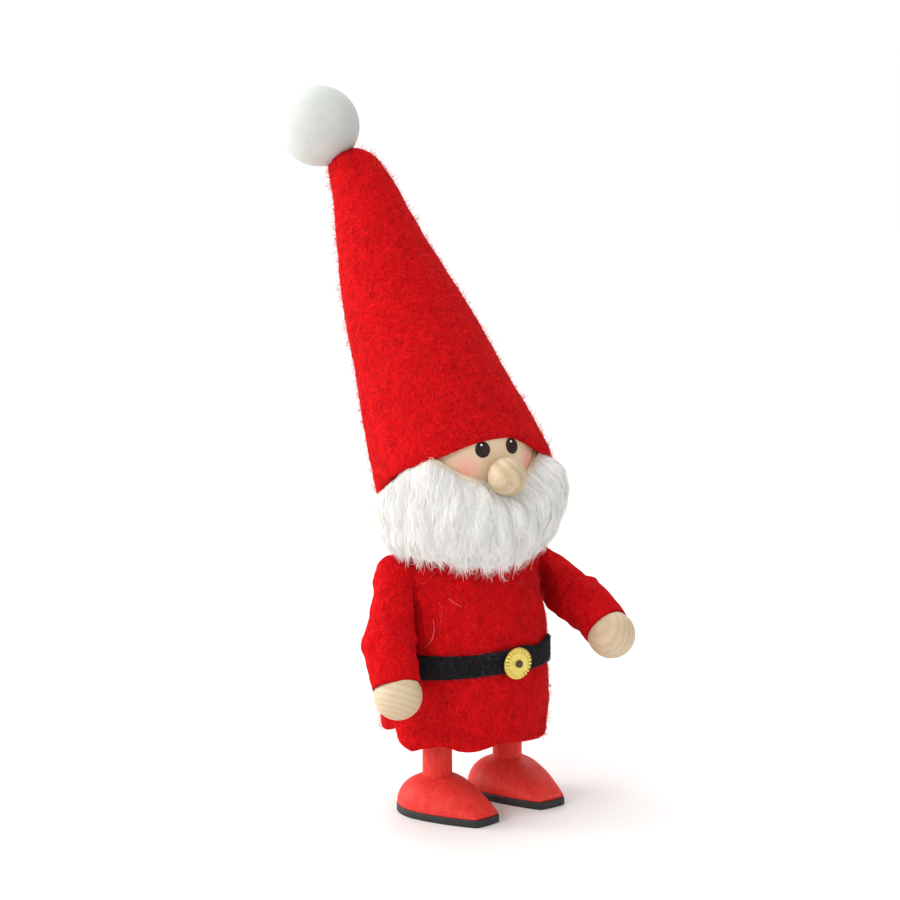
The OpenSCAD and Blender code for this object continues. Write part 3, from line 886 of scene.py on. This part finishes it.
def shoe_mesh():
    """The stained upper: a half egg from its rim up to the crown, with a softened lower edge."""
    outline = shoe_outline()
    shares = 1 - np.linspace(0, 1, 26) ** 2 * 0.985
    rows = [np.column_stack([outline * 0.985, np.full(len(outline), 0.0)])]
    for share in shares:
        p = outline * share
        w, h = np.maximum(shoe_width(p[:, 1]), 0.01), shoe_height(p[:, 1])
        side = np.clip(1 - (np.abs(p[:, 0]) / w) ** 2.15, 0, 1)
        rows.append(np.column_stack([p, 0.18 + (h - 0.18) * side**0.5]))
    grid = np.array(rows)
    grid[1:, :, 2] *= 1 + 0.012 * ripple(grid[1:], 5, 61)
    return grid


def rounded_slab(outline, low, high, edge):
    """A flat sole with rounded edges, from its outline."""
    centre = outline.mean(0)
    out = unit(outline - centre)
    rows = []
    corner = edge * 0.3
    below = [(2.0, low), (edge, low), (corner, low + corner), (0, low + edge)]
    above = [(0, high - edge), (corner, high - corner), (edge, high), (2.0, high)]
    for inset, z in below + above:
        rows.append(np.column_stack([outline - out * inset, np.full(len(outline), z)]))
    return np.array(rows)


for side in SIDE:
    leg = middle_of("leg_" + side)
    foot = shift(leg[0], leg[1], 0) @ turn("Z", -3 * SIDE[side]) @ turn("Z", 180)
    upper = shoe_mesh()
    points, faces = capped(upper.reshape(-1, 3), *upper.shape[:2])
    faces = [f[::-1] for f in faces]
    shoe = place("shoe_wood_" + side, points, faces, red_stain, foot @ shift(0, 0, SOLE_T))
    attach(shoe, "body")
    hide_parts("shoe_" + side)
    slab = rounded_slab(shoe_outline() * 1.012, 0.0, SOLE_T + 0.02, 0.22)
    points, faces = capped(slab.reshape(-1, 3), *slab.shape[:2])
    sole = place("sole_rubber_" + side, points, [f[::-1] for f in faces], rubber, foot)
    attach(sole, "body")
    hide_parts("sole_" + side)


# ------------------------ hat

HAT_H = 72.0
HAT_LINE = [
    (-4, 18.2), (0, 17.9), (8, 16.75), (14, 15.75), (23, 14.5), (32, 12.95),
    (42, 10.95), (52, 8.8), (60, 7.2), (66, 5.9), (69, 5.0), (71, 4.1),
    (72, 3.1),
]
BRIM_LINE = [
    (-180, 0.4), (-150, 0.3), (-120, 1.0), (-97, 1.9), (-80, 1.7), (-63, 1.1),
    (-49, 0.6), (-34, 0.7), (-20, 0.9), (-5, 0.8), (8, 0.4), (18, -0.6),
    (27, -2.0), (41, -2.9), (60, -3.0), (90, -2.2), (130, -0.6), (180, 0.4),
]
HAT_BOW = [(0, 0), (30, 0.05), (45, 0.15), (58, 0.55), (66, 1.0), (69, 0.9), (72, 0.3)]
BOW_WAY = np.array([0.804, -0.594, 0])


def hat_grid():
    """The hat's outer surface in its own frame, rows from the brim up to the tip."""
    azimuth = np.arange(200) * 360 / 200 - 180
    share = np.concatenate([np.linspace(0, 0.9, 92), np.linspace(0.9, 1, 17)[1:]])
    brim = through(azimuth, BRIM_LINE)[None]
    azimuth = np.repeat(azimuth[None], len(share), 0)
    z = brim + (HAT_H - brim) * share[:, None]
    r = through(z, HAT_LINE)
    front = np.exp(-(((azimuth + 8) / 55) ** 2))
    r = r - 0.75 * front * (1 - smooth(z, 3, 16))
    r = r - 0.25 * (1 - smooth(z - brim, 0, 1.4))
    pleat = smooth(z, 62, 70)
    a = np.radians(azimuth)
    r = r + pleat * (0.2 * np.sin(a * 5 + 0.6) + 0.1 * np.sin(a * 9 + 2))
    points = around(azimuth, r, z)
    points = points + BOW_WAY * through(z, HAT_BOW)[..., None]
    lump = 0.13 * ripple(points, 22, 71) + 0.045 * ripple(points, 6, 72) + 0.03 * ripple(points, 1.8, 73)
    seam = np.exp(-((((180 - np.abs(azimuth)) * np.radians(r)) / 0.5) ** 2))
    return points + normals_of(points) * (lump * (0.5 + 0.5 * smooth(z, 2, 8)) - 0.4 * seam)[..., None]


hat_outer = hat_grid()
hat_normal = normals_of(hat_outer)
below_brim = hat_outer[0] + [0, 0, -0.35]
rim = [below_brim - 0.35 * hat_normal[0], below_brim - 0.95 * hat_normal[0]]
inside = [hat_outer[i] - FELT * hat_normal[i] for i in range(0, 96, 4)]
top = hat_outer[-1]
tip_middle = top.mean(0)
gathers = ((0.12, 0.22), (0.3, 0.2), (0.55, -0.25), (0.8, -0.6))
over = [top + (tip_middle - top) * k + np.array([0, 0, d]) for k, d in gathers]
hat_rows = np.array([*inside[::-1], *rim[::-1], *hat_outer, *over])
hat_points, hat_faces = capped(hat_rows.reshape(-1, 3), *hat_rows.shape[:2])
hat = place("hat_felt", hat_points, hat_faces, red_felt, HAT)
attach(hat, "head_and_hat")
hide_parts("hat")
across_seam = np.repeat([[1.0, 0, 0]], len(hat_outer) - 10, 0)
seam_points, seam_faces = stitches(hat_outer[2:-8, 0], hat_normal[2:-8, 0], across_seam, 2.1, 1.0, 0.13)
hat_seam = place("hat_stitches", seam_points, seam_faces, red_thread, HAT)
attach(hat_seam, "head_and_hat")
hat_fuzz = fuzz("hat_fuzz", hat_outer, 20000, 1.0, 0.055, red_fibre, HAT, 81, 0.65)
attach(hat_fuzz, "head_and_hat")
brim_rows = np.array([rim[0], *hat_outer[:3]])
brim_fuzz = fuzz("hat_brim_fuzz", brim_rows, 900, 0.9, 0.05, red_fibre, HAT, 82, 0.5)
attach(brim_fuzz, "head_and_hat")


# ------------------------ face


def paint_dab(name, azimuth, elevation, width, height, thick, material):
    """A drop of paint with a rounded edge, on the head's surface."""
    rings = [(1.0, -0.15), (1.0, 0.1), (0.96, 0.42), (0.86, 0.68), (0.7, 0.85), (0.5, 0.95), (0.28, 0.99)]
    a = np.arange(40) * 2 * math.pi / 40
    rows = []
    for share, rise in rings:
        x, y = share * width / 2 * np.cos(a), share * height / 2 * np.sin(a)
        depth = np.sqrt(HEAD_R**2 - x * x - y * y)
        rows.append(np.column_stack([x, -(depth + thick * rise), y]))
    points, faces = capped(np.array(rows).reshape(-1, 3), len(rows), 40)
    matrix = FACE @ turn("Z", azimuth) @ turn("X", -elevation)
    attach(place(name, points, faces, material, matrix), "head_and_hat")


# Each eye gets a white glint dot above its middle: a painted highlight standing in for the lamps'
# reflection.
for label, azimuth, elevation in (("right", -14.6, 17), ("left", 14.6, 17)):
    paint_dab("eye_" + label, azimuth, elevation, 3.05, 3.25, 0.28, eye_paint)
    paint_dab("eye_glint_" + label, azimuth - 1.0, elevation + 3.6, 0.62, 0.55, 0.36, glint_paint)


# ------------------------ beard

EDGE_LINE = [
    (-180, 24), (-120, 22), (-90, 18), (-72, 14), (-54, 8.5), (-35, -2),
    (-23, -7), (-10, -11.5), (2, -13.5), (14, -12), (30, -7), (42, -1),
    (56, 7), (75, 15), (120, 22), (180, 24),
]
FLEECE_LINE = [
    (-19.4, 13.2), (-18.6, 15.3), (-17, 17.1), (-14.5, 18.4), (-11, 19.2), (-7, 19.35),
    (-3, 18.8), (0, 18.0), (4, 16.8),
]
FOOT_LINE = [
    (-180, -18.6), (-100, -18.2), (-60, -18.4), (-30, -18.9), (0, -19.0), (22, -17.6),
    (45, -15.2), (70, -14.0), (110, -15.5), (180, -18.6),
]
STRIP_END = 134.0
WOOL_AHEAD = 1.9


def brim_in_face(azimuth):
    """The height of the brim's lower edge at each azimuth, in the face's frame."""
    ring = moved(np.linalg.inv(FACE) @ HAT, rim[0])
    at = np.degrees(np.arctan2(ring[:, 0], -ring[:, 1]))
    order = np.argsort(at)
    return np.interp(azimuth, at[order], ring[order, 2], period=360)


def fleece_grid(azimuth, steps=46):
    """The combed wool's surface, from its edge on the cheek, out over the roll and down to its foot."""
    edge_z = HEAD_R * np.sin(np.radians(through(azimuth, EDGE_LINE)))
    edge_z = np.minimum(edge_z, brim_in_face(azimuth) + 0.4)
    full = 1 - smooth(np.abs(azimuth), STRIP_END - 22, STRIP_END)
    v = np.linspace(0, 1, steps)[:, None]
    foot_z = through(azimuth, FOOT_LINE) + 0.45 * ripple(azimuth[:, None] * 0.3, 4.5, 93)
    z = edge_z + (foot_z - edge_z) * (0.35 * v + 0.65 * v**1.35)
    on_head = np.sqrt(np.maximum((HEAD_R + 0.35) ** 2 - z * z, 11.9**2))
    outer = through(np.where(z < 0, z * -19.4 / foot_z, z), FLEECE_LINE)
    covered = smooth(np.abs(azimuth), 42, 60)
    puff = smooth((edge_z - z) / (4.6 - 2.1 * covered), -0.05 - 0.24 * covered, 1) ** 0.62
    r = on_head + (outer - on_head) * puff * full
    shape = around(azimuth, r, z)
    shape[..., 1] -= WOOL_AHEAD * puff * full
    return shape


def tufted(azimuth, surface, sunk):
    """The wool's surface with its soft long locks raised on it, and its normals."""
    at = np.stack([np.repeat(azimuth[None] * 0.32, len(surface), 0), surface[..., 2] * 0.4], -1)
    locks = 0.40 * ripple(at, 4.4, 91) + 0.09 * ripple(at, 1.8, 92)
    fade = np.sin(np.linspace(0.0, 1, len(surface)) * math.pi)[:, None] ** 0.5
    normal = -normals_of(surface, wrap_columns=False)
    raised = surface + normal * ((locks - sunk) * fade)[..., None]
    return raised, -normals_of(raised, wrap_columns=False)


beard_azimuth = np.linspace(-STRIP_END, STRIP_END, 260)
bulk, _ = tufted(beard_azimuth, fleece_grid(beard_azimuth), 0.9)
inner_z = np.linspace(-18.2, 0, 9)[:, None] * np.ones((1, len(beard_azimuth)))
inner_z = np.minimum(inner_z, bulk[0, :, 2])
inner_r = np.sqrt(np.maximum((HEAD_R + 0.25) ** 2 - inner_z**2, 11.4**2))
lining = around(beard_azimuth, inner_r, inner_z)
shell = np.concatenate([bulk, lining])
shell_faces = grid_faces(*shell.shape[:2], wrap_columns=False, wrap_rows=True)
beard = place("beard_bulk", shell, [f[::-1] for f in shell_faces], fleece, FACE)
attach(beard, "head_and_hat")
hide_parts("beard_wool")


def hide_edge():
    """The cut edge of the lambskin strip, as a thin band along the cheeks."""
    azimuth = np.linspace(-66, 62, 150)
    edge = HEAD_R * np.sin(np.radians(through(azimuth, EDGE_LINE)))
    rows = []
    for out, up in ((0.0, -0.5), (0.0, 0.28), (0.3, 0.36), (0.55, 0.2), (0.6, -0.5)):
        z = edge + up + 0.05 * ripple(azimuth[:, None] * 0.24, 1.1, 95)
        r = np.sqrt(HEAD_R**2 - z * z) + out
        rows.append(around(azimuth, r, z))
    grid = np.array(rows)
    faces = grid_faces(*grid.shape[:2], wrap_columns=False, wrap_rows=True)
    return grid, [f[::-1] for f in faces]


strip = place("beard_hide_edge", *hide_edge(), hide, FACE)
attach(strip, "head_and_hat")
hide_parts("beard_backing")

table_az = np.linspace(-STRIP_END, STRIP_END, 536)
table, table_n = tufted(table_az, fleece_grid(table_az, 60), 0.55)
table_step = np.linalg.norm(np.diff(table, axis=0), axis=2)
table_len = np.concatenate([np.zeros((1, len(table_az))), np.cumsum(table_step, 0)])
hang_len = table_len[-7]


def on_fleece(azimuth, length, height):
    """Points on the wool at an azimuth and a combed length from its edge, and the normals there. Past the
    lower edge the wool hangs straight down."""
    last = len(table_az) - 1
    column = np.clip(np.round((azimuth + STRIP_END) / (2 * STRIP_END) * last).astype(int), 0, last)
    stop = hang_len[column]
    on = np.clip(np.minimum(length, stop), 0, None)
    lengths = table_len[:, column]
    row = np.clip((lengths <= on[None]).sum(0) - 1, 0, len(table) - 2)
    flat_row, flat_col = row.ravel(), column.ravel()
    low, high = table_len[flat_row, flat_col], table_len[flat_row + 1, flat_col]
    t = np.clip((on.ravel() - low) / np.maximum(high - low, 1e-6), 0, 1)[:, None]
    p = table[flat_row, flat_col] * (1 - t) + table[flat_row + 1, flat_col] * t
    n = unit(table_n[flat_row, flat_col] * (1 - t) + table_n[flat_row + 1, flat_col] * t)
    p, n = p.reshape(*azimuth.shape, 3), n.reshape(*azimuth.shape, 3)
    below = np.maximum(length - stop, 0)[..., None]
    inward = -around(azimuth, 1.0, 0.0)
    p = p + below * unit(np.array([0, 0, -1.0]) + 0.35 * inward)
    return p + n * height[..., None], n


def beard_hairs(name, count, start, longest, width, seed, material, lift, spread, hang, steps=9):
    """Combed wool fibres that gather into soft locks towards their tips."""
    rng = np.random.default_rng(seed)
    azimuth = rng.uniform(*spread, count)
    hanging = np.interp(azimuth, table_az, hang_len)
    begin = rng.uniform(*start, count) * hanging
    length = longest * rng.uniform(0.55, 1.1, count)
    clumps = rng.uniform(-STRIP_END, STRIP_END, (900, 2))
    clumps[:, 1] = rng.uniform(-2, 22, 900)
    gap = (clumps[None, :, 0] - azimuth[:, None]) * 0.33
    apart = np.hypot(gap, (clumps[None, :, 1] - begin[:, None]) * 0.35)
    nearest = clumps[np.argmin(apart, 1), 0]
    t = np.linspace(0, 1, steps)[None]
    pull = np.clip(nearest - azimuth, -9, 9)[:, None]
    wander = rng.normal(0, 4.0, (count, 1)) * t**1.2
    swing = rng.normal(0, 2.3, (count, 1))
    swirl = swing * np.sin(t * rng.uniform(2, 6, (count, 1)) + rng.uniform(0, 6, (count, 1)))
    az = azimuth[:, None] + pull * 0.45 * t**1.4 + wander + swirl * t
    at = begin[:, None] + length[:, None] * t
    over = np.maximum(at - hanging[:, None], 0)
    at = at - over + over * hang * rng.uniform(0.15, 1, (count, 1)) ** 1.5
    depth = rng.uniform(-0.25, 0.3, (count, 1))
    rise = depth + lift * rng.uniform(0, 1, (count, 1)) ** 3 * np.sin(t * 2.6)
    path, n = on_fleece(az, at, rise)
    facing = unit(n + 0.3 * rng.normal(size=(count, 1, 3)))
    tone = rng.random(count) ** 1.6
    soft = unit(n + 0.2 * rng.normal(size=(count, 1, 3)))
    return strands(name, path, facing, width * rng.uniform(0.6, 1.3, count), material, FACE, tone, soft)


bands = ("far_right", "right", "left", "far_left")
for k, label in enumerate(bands):
    where = (-130 + 65 * k, -65 + 65 * k)
    locks = beard_hairs(
        "beard_locks_" + label,
        count=16400,
        start=(0.0, 0.98),
        longest=5.8,
        width=0.07,
        seed=105 + k,
        material=fleece,
        lift=0.9,
        spread=where,
        hang=0.45,
        steps=7,
    )
    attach(locks, "head_and_hat")
    tips = beard_hairs(
        "beard_tips_" + label,
        count=4600,
        start=(0.6, 1.0),
        longest=6.8,
        width=0.06,
        seed=115 + k,
        material=fleece,
        lift=1.3,
        spread=where,
        hang=0.8,
    )
    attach(tips, "head_and_hat")
fringe = beard_hairs(
    "beard_edge_fringe",
    count=1500,
    start=(-0.05, 0.03),
    longest=1.7,
    width=0.08,
    seed=131,
    material=fringe_wool,
    lift=0.6,
    spread=(-64, 58),
    hang=1,
    steps=5,
)
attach(fringe, "head_and_hat")


# ------------------------ finishes of the CAD's own pieces

finishes = {
    "leg_left": red_stain,
    "leg_right": red_stain,
    "hand_left": hand_wood["left"],
    "hand_right": hand_wood["right"],
    "nose": nose_wood,
    "head": head_finish(),
    "hat_ball": ball_paint,
    "hat_stuffing": fleece,
    "buckle_pin": nail_metal,
    "arm_wire_left": steel,
    "arm_wire_right": steel,
}
for node in ("body_core", "neck_peg", "nose_peg", "hat_plug", "ball_peg"):
    finishes[node] = inner_wood
for node, material in finishes.items():
    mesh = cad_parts[node].data
    mesh.materials.clear()
    mesh.materials.append(material)
    mesh.polygons.foreach_set("use_smooth", [True] * len(mesh.polygons))
